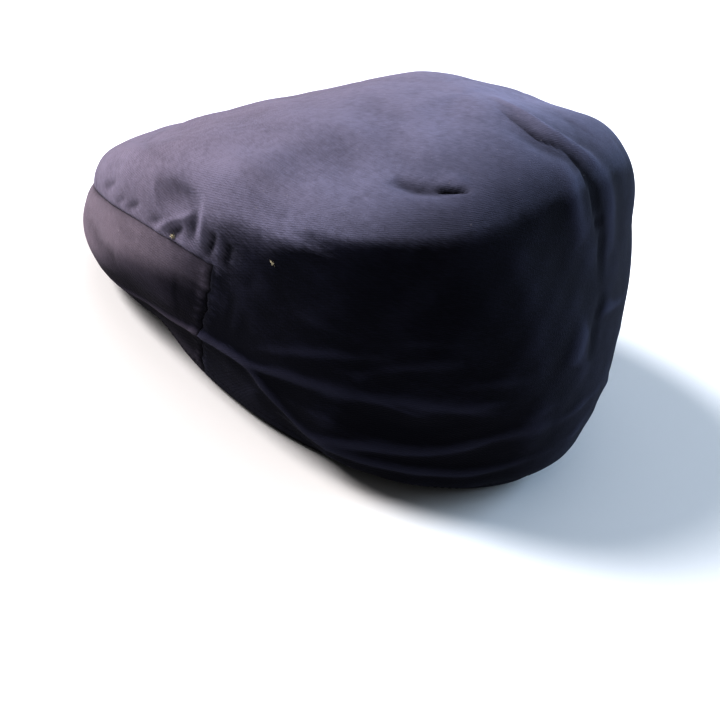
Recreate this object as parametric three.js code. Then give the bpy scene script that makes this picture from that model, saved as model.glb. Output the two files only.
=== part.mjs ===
// A soft flat cap of brushed cotton, built as three sewn pieces: crown, peak and band.
//
// Millimetres, +Z up. The cap rests on the band's lower edge, its front faces -Y and the
// wearer's left is +X. The origin is the bottom centre of the whole cap.
//
// The outer surface is one smooth skin. A point on it has a heading (degrees from the front,
// positive towards the wearer's left) and a level (0 at the head opening, 5 at the top).
import * as THREE from "three";

// ---- Driving sizes ---------------------------------------------------------------------
const CROWN_WALL = 2.0;
const PEAK_WALL = 2.6;
const BAND_WALL = 2.2;
const BAND_HEIGHT = 28;
const BAND_INSET = 2.7; // from the cloth's lower edge in to the band's outer face
const HEM_SHOWING = 3; // band left uncovered below the cloth's lower edge
const SEAM_GAP = 0.5;

// The section lines around the cap, one row for each whole level from 0. Each pair is the reach
// from the middle of the head opening and the height there. Blunt, for the front half and the
// back half, is 2 for an oval and more for a squarer outline.
const SECTIONS = [
  { name: "rim", front: [110, HEM_SHOWING], side: [77, HEM_SHOWING], back: [96, HEM_SHOWING], blunt: [2, 2] },
  { name: "edge", front: [143, 6], side: [87, 9], back: [104, 19], blunt: [2.15, 2] },
  { name: "seam", front: [144, 30], side: [99, 68], back: [101, 51], blunt: [2.2, 2.2] },
  { name: "shoulder", front: [113, 68], side: [104, 100], back: [83, 99], blunt: [2.2, 2.3] },
  { name: "upper", front: [53, 110], side: [86, 117], back: [61, 134], blunt: [2.1, 2.2] },
];
const TOP = { y: 4, z: 134 };
const EDGE_LEVEL = 1;
const SEAM_LEVEL = 2;
const TOP_LEVEL = SECTIONS.length;

// At each temple the peak's edge line climbs and swings outwards.
const TEMPLE = { heading: 78, spread: 26, lift: 23, out: 4 };

// The peak ends in an upright seam at this heading on either side.
const PEAK_END = 82;

// Below this level the headings lean forward around the temples, so that the end seams and the
// lines of the cloth beside them run straight down to the lower edge.
const SEAM_LEAN = { degrees: 8.5, below: 1.7, power: 1.8, around: 82, spread: 45 };

// The gathered cloth swells out over the front seam, and the peak's cloth swells below it.
const SWELLS = [
  { name: "puff", low: SEAM_LEVEL, high: SEAM_LEVEL + 1, rise: 4.6 },
  { name: "peak roll", low: EDGE_LEVEL, high: SEAM_LEVEL, rise: 3.4 },
];

// Folds (rise above 0) and dents (below 0), each along a path of [heading, level] points on the
// skin. Spread is the half-width of the fold in millimetres.
const FOLDS = [
  { name: "crease, upper", path: [[174, 4.7], [174, 4.34], [178, 3.95]], spread: 5, rise: -2.6 },
  { name: "crease, lower", path: [[177, 4.1], [179, 3.5], [181, 2.8]], spread: 5, rise: -3 },
  { name: "ridge, upper", path: [[190, 4.7], [183, 4.34], [184, 3.86]], spread: 6, rise: 2.4 },
  { name: "ridge, lower", path: [[182, 4.1], [184, 3.6], [186, 3]], spread: 7, rise: 1.8 },
  { name: "back swell", path: [[205, 4.35], [208, 3.6], [205, 3]], spread: 26, rise: 1.6 },
  { name: "dimple", path: [[122, 4.08], [131, 4.04], [140, 4.02]], spread: 6, rise: -3.4 },
  { name: "peak edge", path: [[44, 1.06], [66, 0.9], [92, 1.26]], spread: 6, rise: 1.8 },
  { name: "peak's upper roll", path: [[34, 1.45], [58, 1.42], [76, 1.4]], spread: 15, rise: 2.6 },
  { name: "hollow under the peak edge", path: [[60, 0.7], [76, 0.68], [88, 0.8]], spread: 9, rise: -1.7 },
  { name: "hollow at the ear", path: [[94, 0.85], [104, 0.75], [112, 0.75]], spread: 8, rise: -2 },
  { name: "temple, high", path: [[86, 1.18], [104, 1.83], [122, 2.18]], spread: 6, rise: 1.2 },
  { name: "temple, middle", path: [[88, 1.2], [104, 1.55], [126, 1.8], [158, 1.9]], spread: 6, rise: 1.8 },
  { name: "temple, steep", path: [[88, 1.2], [100, 1.04], [113, 1.1]], spread: 6, rise: 1.8 },
  { name: "low swag", path: [[108, 1.03], [120, 1.31], [140, 1.51], [165, 1.84]], spread: 6, rise: 2 },
  { name: "brow ridge", path: [[66, 3], [76, 3.7], [70, 4.45]], spread: 9, rise: 1.6 },
  { name: "brow hollow", path: [[84, 3.3], [84, 4], [83, 4.35]], spread: 13, rise: -1.3 },
  { name: "front hollow", path: [[64, 2.66], [69, 2.76], [74, 2.7]], spread: 8, rise: -3 },
  { name: "front sag", path: [[16, 3.2], [48, 3.35]], spread: 14, rise: -1.6 },
  { name: "far crown", path: [[-12, 4], [-36, 4.15], [-58, 4.3]], spread: 18, rise: 2.6 },
  { name: "far dip", path: [[-50, 4.66], [-84, 4.56], [-112, 4.5]], spread: 10, rise: -0.9 },
  { name: "far back", path: [[-88, 4.15], [-110, 4.08], [-135, 4.1], [-160, 4.25]], spread: 15, rise: 2.6 },
  { name: "right peak edge", path: [[-50, 1], [-68, 0.94], [-84, 1.06]], spread: 6, rise: 1.5 },
  { name: "right temple, high", path: [[-84, 1.1], [-96, 1.6], [-124, 2]], spread: 6, rise: 1.5 },
  { name: "right temple, low", path: [[-88, 1.15], [-102, 1.1], [-132, 1.3]], spread: 6, rise: 1.8 },
  { name: "right swag", path: [[-120, 1.3], [-136, 1.5], [-152, 1.62], [-166, 1.6]], spread: 6, rise: 1.8 },
  { name: "right ear hollow", path: [[-94, 0.85], [-112, 0.8]], spread: 8, rise: -1.8 },
  { name: "right brow ridge", path: [[-34, 2.9], [-58, 3.3], [-70, 4]], spread: 9, rise: 1.4 },
  { name: "right brow hollow", path: [[-50, 2.7], [-66, 2.76]], spread: 8, rise: -1.8 },
  { name: "right top hollow", path: [[-88, 3.6], [-120, 3.9]], spread: 14, rise: -1.4 },
];
const FOLD_STEPS = 12;

// Facets: steps round the front and the back, and the levels of the crown's and peak's rows.
const FRONT_STEPS = 38;
const BACK_STEPS = 48;
const LOW_ROWS = 7;
const HIGH_ROWS = 14;
const BAND_STEPS = 36;

// ---- The skin --------------------------------------------------------------------------
const angleFromFront = (heading) => Math.abs(((heading + 540) % 360) - 180);

// A heading as the cloth lies: moved forward a little around the temples, below the seam.
function leanedHeading(heading, level) {
  const away = angleFromFront(heading);
  const side = (heading + 540) % 360 >= 180 ? 1 : -1;
  const low = Math.max(1 - level / SEAM_LEAN.below, 0) ** SEAM_LEAN.power;
  const near = Math.exp(-(((away - SEAM_LEAN.around) / SEAM_LEAN.spread) ** 2));
  const settle = Math.sqrt(Math.sin(THREE.MathUtils.degToRad(away)));
  return heading - side * SEAM_LEAN.degrees * low * near * settle;
}

function templeBump(heading) {
  return Math.exp(-(((angleFromFront(heading) - TEMPLE.heading) / TEMPLE.spread) ** 2));
}

function sectionPoint(index, heading) {
  const { front, side, back, blunt } = SECTIONS[index];
  const turn = THREE.MathUtils.degToRad(heading);
  const cos = Math.cos(turn);
  const sin = Math.sin(turn);
  const isFront = cos > 0;
  const [endReach, endZ] = isFront ? front : back;
  const [sideReach, sideZ] = side;
  const power = 2 / blunt[isFront ? 0 : 1];
  const bump = index === EDGE_LEVEL ? templeBump(heading) : 0;
  return new THREE.Vector3(
    (sideReach + TEMPLE.out * bump) * Math.sign(sin) * Math.abs(sin) ** power,
    -endReach * Math.sign(cos) * Math.abs(cos) ** power,
    sideZ + (endZ - sideZ) * cos * cos + TEMPLE.lift * bump,
  );
}

// The smooth skin: a Catmull-Rom curve up through the section lines, over the top and on
// towards the last line on the far side.
function skin(heading, level) {
  const line = Math.min(Math.floor(level), TOP_LEVEL - 1);
  const turn = leanedHeading(heading, level);
  const knot = (index) => {
    if (index < 0) {
      return sectionPoint(0, turn).multiplyScalar(2).sub(sectionPoint(1, turn));
    }
    if (index < TOP_LEVEL) return sectionPoint(index, turn);
    if (index === TOP_LEVEL) return new THREE.Vector3(0, TOP.y, TOP.z);
    return sectionPoint(TOP_LEVEL - 1, turn + 180);
  };
  const [a, b, c, d] = [line - 1, line, line + 1, line + 2].map(knot);
  const u = level - line;
  const blend = (p, q, r, s) =>
    0.5 * (2 * q + (r - p) * u + (2 * p - 5 * q + 4 * r - s) * u ** 2 + (3 * q - p - 3 * r + s) * u ** 3);
  return new THREE.Vector3(blend(a.x, b.x, c.x, d.x), blend(a.y, b.y, c.y, d.y), blend(a.z, b.z, c.z, d.z));
}

function skinNormal(heading, level) {
  if (level >= TOP_LEVEL) return new THREE.Vector3(0, 0, 1);
  const turn = 0.5;
  const climb = 0.01;
  const low = Math.max(level - climb, 0);
  const high = Math.min(level + climb, TOP_LEVEL);
  const around = skin(heading + turn, level).sub(skin(heading - turn, level));
  const up = skin(heading, high).sub(skin(heading, low));
  return around.cross(up).normalize();
}

// ---- Folds and dents -------------------------------------------------------------------
const foldPaths = FOLDS.map(({ path, spread, rise }) => {
  const course = new THREE.SplineCurve(path.map(([heading, level]) => new THREE.Vector2(heading, level)));
  const points = course.getPoints(FOLD_STEPS).map(({ x, y }) => skin(x, y));
  return { points, spread, rise };
});

// A fold dies away sideways, and rises from nothing at its ends to its full height midway.
function foldHeight(fold, point) {
  const nearest = new THREE.Vector3();
  const segment = new THREE.Line3();
  let best = { distance: Infinity, share: 0 };
  for (let step = 0; step < FOLD_STEPS; step += 1) {
    segment.set(fold.points[step], fold.points[step + 1]);
    const part = segment.closestPointToPointParameter(point, true);
    const distance = segment.at(part, nearest).distanceTo(point);
    if (distance < best.distance) best = { distance, share: (step + part) / FOLD_STEPS };
  }
  return fold.rise * Math.sin(Math.PI * best.share) * Math.exp(-((best.distance / fold.spread) ** 2));
}

// A swelling is fullest at the front, and gone at the peak's ends.
function swellHeight({ low, high, rise }, heading, level) {
  const share = (level - low) / (high - low);
  const toEnd = 1 - angleFromFront(heading) / PEAK_END;
  if (toEnd < 0 || share < 0 || share > 1) return 0;
  return rise * Math.sin(Math.PI * share) * Math.sin((Math.PI / 2) * toEnd);
}

function relief(point, heading, level) {
  const folded = foldPaths.reduce((sum, fold) => sum + foldHeight(fold, point), 0);
  return SWELLS.reduce((sum, swell) => sum + swellHeight(swell, heading, level), folded);
}

// ---- Cloth walls -----------------------------------------------------------------------
// Thickens the patches of skin that `isCloth(column, row)` picks out into one closed wall.
function clothWall(headings, levels, wall, isCloth, isRound) {
  const columns = headings.length;
  const cellColumns = isRound ? columns : columns - 1;
  const positions = [];
  const indexes = new Map();
  const vertex = (column, row, side) => {
    const atTop = levels[row] >= TOP_LEVEL;
    const wrapped = atTop ? 0 : column % columns;
    const key = `${wrapped}/${row}/${side}`;
    if (!indexes.has(key)) {
      const [heading, level] = [headings[wrapped], levels[row]];
      const base = skin(heading, level);
      const outward = relief(base, heading, level) - side * wall;
      const point = base.addScaledVector(skinNormal(heading, level), outward);
      indexes.set(key, positions.length / 3);
      positions.push(point.x, point.y, point.z);
    }
    return indexes.get(key);
  };

  const triangles = [];
  const face = (a, b, c) => {
    if (a !== b && b !== c && c !== a) triangles.push(a, b, c);
  };
  const quad = (a, b, c, d) => {
    face(a, b, c);
    face(a, c, d);
  };
  const has = (column, row) => {
    const isRow = row >= 0 && row < levels.length - 1;
    const isColumn = isRound || (column >= 0 && column < cellColumns);
    return isRow && isColumn && isCloth((column + columns) % columns, row);
  };
  const edge = (c0, r0, c1, r1) => {
    quad(vertex(c0, r0, 0), vertex(c0, r0, 1), vertex(c1, r1, 1), vertex(c1, r1, 0));
  };

  for (let row = 0; row < levels.length - 1; row += 1) {
    for (let column = 0; column < cellColumns; column += 1) {
      if (!has(column, row)) continue;
      const corners = [[column, row], [column + 1, row], [column + 1, row + 1], [column, row + 1]];
      quad(...corners.map(([c, r]) => vertex(c, r, 0)));
      quad(...corners.map(([c, r]) => vertex(c, r, 1)).reverse());
      if (!has(column, row - 1)) edge(column, row, column + 1, row);
      if (!has(column + 1, row)) edge(column + 1, row, column + 1, row + 1);
      if (!has(column, row + 1) && levels[row + 1] < TOP_LEVEL) edge(column + 1, row + 1, column, row + 1);
      if (!has(column - 1, row)) edge(column, row + 1, column, row);
    }
  }

  const geometry = new THREE.BufferGeometry();
  geometry.setAttribute("position", new THREE.Float32BufferAttribute(positions, 3));
  geometry.setIndex(triangles);
  geometry.computeVertexNormals();
  return geometry;
}

function evenSteps(start, end, count) {
  return Array.from({ length: count + 1 }, (_, step) => start + ((end - start) * step) / count);
}

// Half the seam gap, as a share of a level and as degrees of heading.
const LEVEL_GAP = SEAM_GAP / 2 / skin(0, SEAM_LEVEL + 0.5).distanceTo(skin(0, SEAM_LEVEL - 0.5));
const HEADING_GAP = THREE.MathUtils.radToDeg(SEAM_GAP / 2 / SECTIONS[SEAM_LEVEL].side[0]);

// ---- Crown: the bowl of cloth, notched at the front where the peak is let in -------------
function makeCrown() {
  const notch = PEAK_END + HEADING_GAP;
  const frontHeadings = evenSteps(-notch, notch, FRONT_STEPS);
  const backHeadings = evenSteps(notch, 360 - notch, BACK_STEPS).slice(1, -1);
  const lowLevels = evenSteps(0, SEAM_LEVEL + LEVEL_GAP, LOW_ROWS);
  const highLevels = evenSteps(SEAM_LEVEL + LEVEL_GAP, TOP_LEVEL, HIGH_ROWS).slice(1);
  const isCloth = (column, row) => column >= FRONT_STEPS || row >= LOW_ROWS;
  const headings = [...frontHeadings, ...backHeadings];
  return clothWall(headings, [...lowLevels, ...highLevels], CROWN_WALL, isCloth, true);
}

// ---- Peak: from the gathered seam out over the edge, and back under to the opening -------
function makePeak() {
  const end = PEAK_END - HEADING_GAP;
  const headings = evenSteps(-end, end, FRONT_STEPS);
  const levels = evenSteps(0, SEAM_LEVEL - LEVEL_GAP, LOW_ROWS + 1);
  return clothWall(headings, levels, PEAK_WALL, () => true, false);
}

// ---- Band: the plain ring at the head opening, which the cap rests on --------------------
function ovalPath(path, inset) {
  const { front, side, back } = SECTIONS[0];
  path.absellipse(0, 0, side[0] - inset, back[0] - inset, 0, Math.PI, false, 0);
  path.absellipse(0, 0, side[0] - inset, front[0] - inset, Math.PI, 2 * Math.PI, false, 0);
  path.closePath();
  return path;
}

function makeBand() {
  const outline = ovalPath(new THREE.Shape(), BAND_INSET);
  outline.holes.push(ovalPath(new THREE.Path(), BAND_INSET + BAND_WALL));
  return new THREE.ExtrudeGeometry(outline, {
    depth: BAND_HEIGHT,
    curveSegments: BAND_STEPS,
    bevelEnabled: false,
  });
}

// ---- Cloth colours and assembly ----------------------------------------------------------
const navy = new THREE.MeshStandardMaterial({ color: 0x26273d, roughness: 0.92, metalness: 0 });
const peakNavy = new THREE.MeshStandardMaterial({ color: 0x24253a, roughness: 0.9, metalness: 0 });
const bandNavy = new THREE.MeshStandardMaterial({ color: 0x14141f, roughness: 0.85, metalness: 0 });

function piece(name, geometry, material) {
  const mesh = new THREE.Mesh(geometry, material);
  mesh.name = name;
  return mesh;
}

const cap = new THREE.Group();
cap.add(piece("crown", makeCrown(), navy));
cap.add(piece("peak", makePeak(), peakNavy));
cap.add(piece("band", makeBand(), bandNavy));

// Stand the cap with the middle of its box over the origin.
const box = new THREE.Box3().setFromObject(cap, true);
const middle = box.getCenter(new THREE.Vector3());
cap.position.set(-middle.x, -middle.y, -box.min.z);
cap.updateMatrixWorld(true);

export default cap;
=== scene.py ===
"""The looks of a soft flat cap of brushed navy cotton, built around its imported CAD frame.

The cap's tables are in millimetres. place() turns its points into metres, which everything after
the meshes uses: materials, lights and camera.
"""
import math

import bpy
import numpy as np
from mathutils import Matrix, Vector


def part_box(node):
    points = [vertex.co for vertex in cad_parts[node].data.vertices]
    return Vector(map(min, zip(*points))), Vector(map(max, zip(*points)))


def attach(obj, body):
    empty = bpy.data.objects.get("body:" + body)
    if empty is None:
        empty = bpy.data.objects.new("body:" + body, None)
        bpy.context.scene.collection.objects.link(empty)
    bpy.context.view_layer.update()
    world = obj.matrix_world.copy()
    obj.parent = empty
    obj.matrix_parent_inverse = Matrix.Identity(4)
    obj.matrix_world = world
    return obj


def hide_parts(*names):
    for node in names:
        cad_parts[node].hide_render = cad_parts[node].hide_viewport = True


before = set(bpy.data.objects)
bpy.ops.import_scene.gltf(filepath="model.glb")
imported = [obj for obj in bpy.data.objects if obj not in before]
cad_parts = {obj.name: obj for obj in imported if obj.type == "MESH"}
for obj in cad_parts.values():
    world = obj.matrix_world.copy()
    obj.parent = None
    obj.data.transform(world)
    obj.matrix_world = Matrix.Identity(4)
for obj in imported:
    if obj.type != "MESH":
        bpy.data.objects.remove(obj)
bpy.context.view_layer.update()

MM = 0.001

# ---- The cap's skin ----
# A point of the skin has a heading, in degrees from the front towards the wearer's left, and a
# level, 0 at the head opening and 5 at the top. Millimetres, from the middle of the opening.
# One row for each whole level: reach and height at the front, side and back, and how blunt the
# front and back halves are (2 is an oval).
SECTIONS = (
    dict(name="rim", front=(110, 3), side=(77, 3), back=(96, 3), blunt=(2, 2)),
    dict(name="edge", front=(143, 6), side=(87, 9), back=(104, 19), blunt=(2.15, 2)),
    dict(name="seam", front=(144, 30), side=(99, 68), back=(101, 51), blunt=(2.2, 2.2)),
    dict(name="shoulder", front=(113, 68), side=(104, 100), back=(83, 99), blunt=(2.2, 2.3)),
    dict(name="upper", front=(53, 110), side=(86, 117), back=(61, 134), blunt=(2.1, 2.2)),
)
TOP = (0, 4, 134)
TOP_LEVEL = len(SECTIONS)
EDGE_LEVEL = 1
SEAM_LEVEL = 2
TEMPLE = dict(heading=78, spread=26, lift=23, out=4)
PEAK_END = 82
CROWN_WALL = 2.0
PEAK_WALL = 2.6
BAND_INSET = 2.7

# The middle of the opening, in metres, from the band's box.
band_low, band_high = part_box("band")
OPENING = Vector((
    (band_low.x + band_high.x) / 2,
    band_high.y - (SECTIONS[0]["back"][0] - BAND_INSET) * MM,
    0,
))

# Below this level the pattern of headings leans forward at the temples, as the end seams do.
SEAM_LEAN = dict(degrees=8.5, below=1.7, power=1.8, around=82, spread=45)
# The end seams waver as they rise, in two waves of so many radians a level, up to the front seam.
SEAM_WAVER = dict(degrees=0.2, spread=5, long=21, short=47, short_share=0.7, fade=0.3)


def unit(vectors):
    return vectors / np.maximum(np.linalg.norm(vectors, axis=-1, keepdims=True), 1e-9)


def bell(distance, spread):
    return np.exp(-((distance / spread) ** 2))


def ramp(values, start, end):
    """0 at start and before, 1 at end and past it."""
    return np.clip((values - start) / (end - start), 0, 1)


def from_front(heading):
    return np.abs((heading + 540) % 360 - 180)


def leaned(heading, level):
    away = from_front(heading)
    side = np.where((heading + 540) % 360 >= 180, 1, -1)
    low = np.clip(1 - level / SEAM_LEAN["below"], 0, 1) ** SEAM_LEAN["power"]
    lean = SEAM_LEAN["degrees"] * low * bell(away - SEAM_LEAN["around"], SEAM_LEAN["spread"])
    lean = lean * np.sin(np.radians(away)) ** 0.5
    short = np.sin(level * SEAM_WAVER["short"] + 1)
    waver = np.sin(level * SEAM_WAVER["long"]) + SEAM_WAVER["short_share"] * short
    waver = waver * SEAM_WAVER["degrees"] * bell(away - PEAK_END, SEAM_WAVER["spread"])
    waver = waver * ramp(level, SEAM_LEVEL, SEAM_LEVEL - SEAM_WAVER["fade"])
    return heading - side * (lean + waver)


def section_points(index, heading):
    """Points of one section, a blunt oval that also rises and widens at the temples on the edge."""
    row = SECTIONS[index]
    turn = np.radians(heading)
    cos, sin = np.cos(turn), np.sin(turn)
    is_front = cos > 0
    end_reach = np.where(is_front, row["front"][0], row["back"][0])
    end_height = np.where(is_front, row["front"][1], row["back"][1])
    side_reach, side_height = row["side"]
    power = np.where(is_front, 2 / row["blunt"][0], 2 / row["blunt"][1])
    bump = np.zeros_like(cos)
    if index == EDGE_LEVEL:
        bump = bell(from_front(heading) - TEMPLE["heading"], TEMPLE["spread"])
    x = (side_reach + TEMPLE["out"] * bump) * np.sign(sin) * np.abs(sin) ** power
    y = -end_reach * np.sign(cos) * np.abs(cos) ** power
    z = side_height + (end_height - side_height) * cos**2 + TEMPLE["lift"] * bump
    return np.stack([x, y, z], axis=-1)


def catmull_rom(p, q, r, s, u):
    """The smooth curve through p, q, r and s, at the share u of its way from q to r."""
    cubic = (3 * q - p - 3 * r + s) * u**3
    return 0.5 * (2 * q + (r - p) * u + (2 * p - 5 * q + 4 * r - s) * u**2 + cubic)


def skin(heading, level):
    """Points of the smooth skin: a curve up through the sections and over the top."""
    heading, level = np.broadcast_arrays(np.asarray(heading, float), np.asarray(level, float))
    heading = leaned(heading, level)
    knots = [section_points(index, heading) for index in range(TOP_LEVEL)]
    knots.insert(0, 2 * knots[0] - knots[1])
    knots.append(np.broadcast_to(np.array(TOP, float), knots[0].shape))
    knots.append(section_points(TOP_LEVEL - 1, heading + 180))
    knots = np.stack(knots)
    line = np.clip(np.floor(level).astype(int), 0, TOP_LEVEL - 1)
    around = [
        np.take_along_axis(knots, (line + offset)[None, ..., None], axis=0)[0] for offset in range(4)
    ]
    return catmull_rom(*around, (level - line)[..., None])


NORMAL_STEP = dict(heading=0.4, level=0.01)
NEAR_TOP = TOP_LEVEL - 0.002


def skin_normals(heading, level):
    """Which way the skin faces, out of the cap, and straight up at its top."""
    low = np.maximum(level - NORMAL_STEP["level"], 0)
    high = np.minimum(level + NORMAL_STEP["level"], NEAR_TOP)
    below_top = np.minimum(level, NEAR_TOP)
    turn = NORMAL_STEP["heading"]
    around = skin(heading + turn, below_top) - skin(heading - turn, below_top)
    normal = unit(np.cross(around, skin(heading, high) - skin(heading, low)))
    return np.where((level >= TOP_LEVEL)[..., None], np.array([0.0, 0.0, 1.0]), normal)


# ---- Folds, dents and gathers ----
# Each row is a fold (rise above 0) or a dent (below 0) along a path of (heading, level) points.
# Rise and spread, its half-width, are in millimetres. A soft one is round; any other is pinched
# thin, with long low flanks.
SIDE_FOLDS = {
    "peak edge": dict(
        spread=2.6, rise=2.0,
        path=((44, 1.06), (62, 0.9), (74, 0.89), (82, 1.0), (90, 1.2), (98, 1.42), (106, 1.56)),
    ),
    "temple, high": dict(
        spread=3, rise=0.9, path=((86, 1.16), (94, 1.56), (104, 1.83), (112, 1.98), (122, 2.18))
    ),
    "temple, middle": dict(
        spread=3.4, rise=1.05,
        path=((92, 1.26), (98, 1.46), (104, 1.55), (114, 1.66), (126, 1.8), (140, 1.92), (158, 1.9)),
    ),
    "behind the end seam": dict(spread=1.4, rise=-0.5, path=((86, 1.9), (86.2, 1.6), (86, 1.3))),
    "behind that": dict(spread=1.4, rise=-0.4, path=((88.4, 1.78), (88.6, 1.55), (88.2, 1.34))),
    "side, short": dict(spread=3.2, rise=0.8, path=((112, 1.8), (120, 2.03), (128, 2.22), (137, 2.36))),
    "temple, steep": dict(
        spread=2.6, rise=1.8, path=((80, 0.98), (88, 1.15), (93, 1.14), (100, 1.04), (106, 1.02), (113, 1.1))
    ),
    "low swag": dict(
        spread=3.4, rise=1.6,
        path=((108, 1.03), (114, 1.18), (121, 1.29), (130, 1.36), (139, 1.48), (150, 1.68), (165, 1.84)),
    ),
    "bottom roll": dict(
        spread=3.2, rise=1.9, path=((98, 0.7), (112, 1.03), (130, 1.13), (146, 1.15), (160, 1.3))
    ),
    "peak roll": dict(spread=15, rise=2.6, soft=True, path=((34, 1.45), (58, 1.42), (76, 1.4))),
    "under the peak edge": dict(spread=9, rise=-1.7, soft=True, path=((60, 0.7), (76, 0.68), (88, 0.8))),
    "peak dent": dict(spread=6, rise=-1.5, soft=True, path=((40, 1.62), (50, 1.52), (60, 1.44))),
    "ear hollow": dict(spread=8, rise=-2.0, soft=True, path=((94, 0.85), (104, 0.75), (112, 0.75))),
    "over the swag": dict(spread=7, rise=-1.2, soft=True, path=((110, 1.4), (124, 1.56), (142, 1.7))),
}
BACK_FOLDS = {
    "crease, upper": dict(
        spread=1.6, rise=-1.3, path=((174, 4.72), (174, 4.5), (174, 4.34), (177, 4.18), (178, 3.95))
    ),
    "crease, lower": dict(
        spread=1.9, rise=-2.2, path=((177, 4.1), (178, 3.8), (179, 3.5), (181, 3.2), (181, 2.8))
    ),
    "crease slope": dict(
        spread=8, rise=-1.9, soft=True, path=((170, 4.66), (170, 4.46), (171, 4.3), (173, 4.12), (175, 3.9))
    ),
    "crease bank": dict(
        spread=4.5, rise=1.1, soft=True, path=((173, 4.12), (170, 3.82), (171, 3.56), (174, 3.25))
    ),
    "ridge, upper": dict(
        spread=2.6, rise=2.1,
        path=((215, 4.84), (192, 4.72), (183, 4.6), (179.5, 4.4), (180.5, 4.22), (182, 4.0), (182, 3.8)),
    ),
    "ridge, lower": dict(spread=6, rise=1.2, soft=True, path=((182, 4.1), (184, 3.6), (186, 3.0))),
    "tuck": dict(spread=2.4, rise=1.2, path=((200, 2.46), (187, 2.58), (181, 2.6), (179, 2.42))),
    "tuck hollow": dict(spread=3, rise=-1.6, path=((182, 2.75), (179, 2.5), (177, 2.28))),
    "tuck roll": dict(spread=6, rise=1.2, soft=True, path=((176, 2.6), (172, 2.46), (170, 2.3))),
    "back swell": dict(spread=26, rise=1.6, soft=True, path=((205, 4.35), (208, 3.6), (205, 3.0))),
}
TOP_FOLDS = {
    "dimple": dict(spread=1.0, rise=-3.0, path=((128, 4.07), (133, 4.035), (138, 3.99))),
    "dimple valley": dict(spread=3.6, rise=-1.7, soft=True, path=((112, 4.14), (122, 4.08), (134, 4.03))),
    "dimple upper lip": dict(spread=4, rise=0.7, soft=True, path=((128, 4.15), (138, 4.09))),
    "dimple lower lip": dict(spread=5, rise=0.3, soft=True, path=((124, 3.93), (140, 3.86))),
    "brow ridge": dict(
        spread=9, rise=1.6, soft=True, path=((66, 3.0), (72, 3.3), (76, 3.7), (72, 4.15), (70, 4.45))
    ),
    "brow hollow": dict(spread=13, rise=-1.3, soft=True, path=((84, 3.3), (84, 4.0), (83, 4.35))),
    "shoulder roll": dict(spread=6, rise=1.0, soft=True, path=((92, 3.14), (104, 3.2), (118, 3.26))),
    "front hollow": dict(spread=7.5, rise=-3.8, soft=True, path=((66, 2.56), (72, 2.66), (78, 2.6))),
    "front rim": dict(spread=6, rise=0.5, soft=True, path=((60, 2.92), (69, 3.0), (77, 2.86))),
    "far line": dict(spread=5, rise=0.9, soft=True, path=((36, 2.62), (46, 2.82), (56, 2.9))),
    "far hollow": dict(spread=7, rise=-1.0, soft=True, path=((44, 2.45), (53, 2.62))),
    "front sag": dict(spread=14, rise=-1.6, soft=True, path=((16, 3.2), (48, 3.35))),
    "far crown": dict(spread=18, rise=2.6, soft=True, path=((-12, 4.0), (-36, 4.15), (-58, 4.3))),
    "far dip": dict(spread=10, rise=-0.9, soft=True, path=((-50, 4.66), (-84, 4.56), (-112, 4.5))),
    "far back": dict(
        spread=15, rise=2.6, soft=True, path=((-88, 4.15), (-110, 4.08), (-135, 4.1), (-160, 4.25))
    ),
    "right brow ridge": dict(spread=9, rise=1.4, soft=True, path=((-34, 2.9), (-58, 3.3), (-70, 4.0))),
    "right brow hollow": dict(spread=8, rise=-1.8, soft=True, path=((-50, 2.7), (-66, 2.76))),
    "right top hollow": dict(spread=14, rise=-1.4, soft=True, path=((-88, 3.6), (-120, 3.9))),
}
RIGHT_FOLDS = {
    "right peak edge": dict(spread=3.2, rise=1.5, path=((-50, 1.0), (-68, 0.94), (-84, 1.06))),
    "right temple, high": dict(
        spread=3.4, rise=1.5, path=((-84, 1.1), (-96, 1.6), (-110, 1.9), (-124, 2.0))
    ),
    "right temple, low": dict(
        spread=3.2, rise=1.9, path=((-88, 1.15), (-102, 1.1), (-118, 1.26), (-132, 1.3))
    ),
    "right swag": dict(spread=3.6, rise=1.8, path=((-120, 1.3), (-136, 1.5), (-152, 1.62), (-166, 1.6))),
    "right side, short": dict(spread=3.2, rise=0.8, path=((-118, 2.1), (-134, 2.26), (-146, 2.3))),
    "right ear hollow": dict(spread=8, rise=-1.8, soft=True, path=((-94, 0.85), (-112, 0.8))),
}
# The crown is eased onto the peak: short pockets rise from the front seam, closer at its ends.
# Each runs up from low to high as its heading leans, and is that wide and deep in millimetres.
POCKETS = (
    dict(heading=48, low=2.14, high=2.4, lean=5, spread=2.2, depth=1.1),
    dict(heading=55.5, low=2.06, high=2.26, lean=3, spread=1.6, depth=0.7),
    dict(heading=59.5, low=2.06, high=2.3, lean=4, spread=1.8, depth=0.9),
    dict(heading=66.5, low=2.05, high=2.26, lean=4, spread=2.2, depth=0.8),
    dict(heading=72, low=2.04, high=2.3, lean=3, spread=2.8, depth=1.9),
    dict(heading=77, low=2.1, high=2.56, lean=-1, spread=3.4, depth=2.2),
    dict(heading=80.6, low=2.06, high=2.46, lean=1, spread=2.2, depth=1.5),
    dict(heading=84, low=2.1, high=2.46, lean=1, spread=2.2, depth=1.0),
    dict(heading=88, low=2.04, high=2.3, lean=1.5, spread=2.2, depth=0.4),
)
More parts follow.
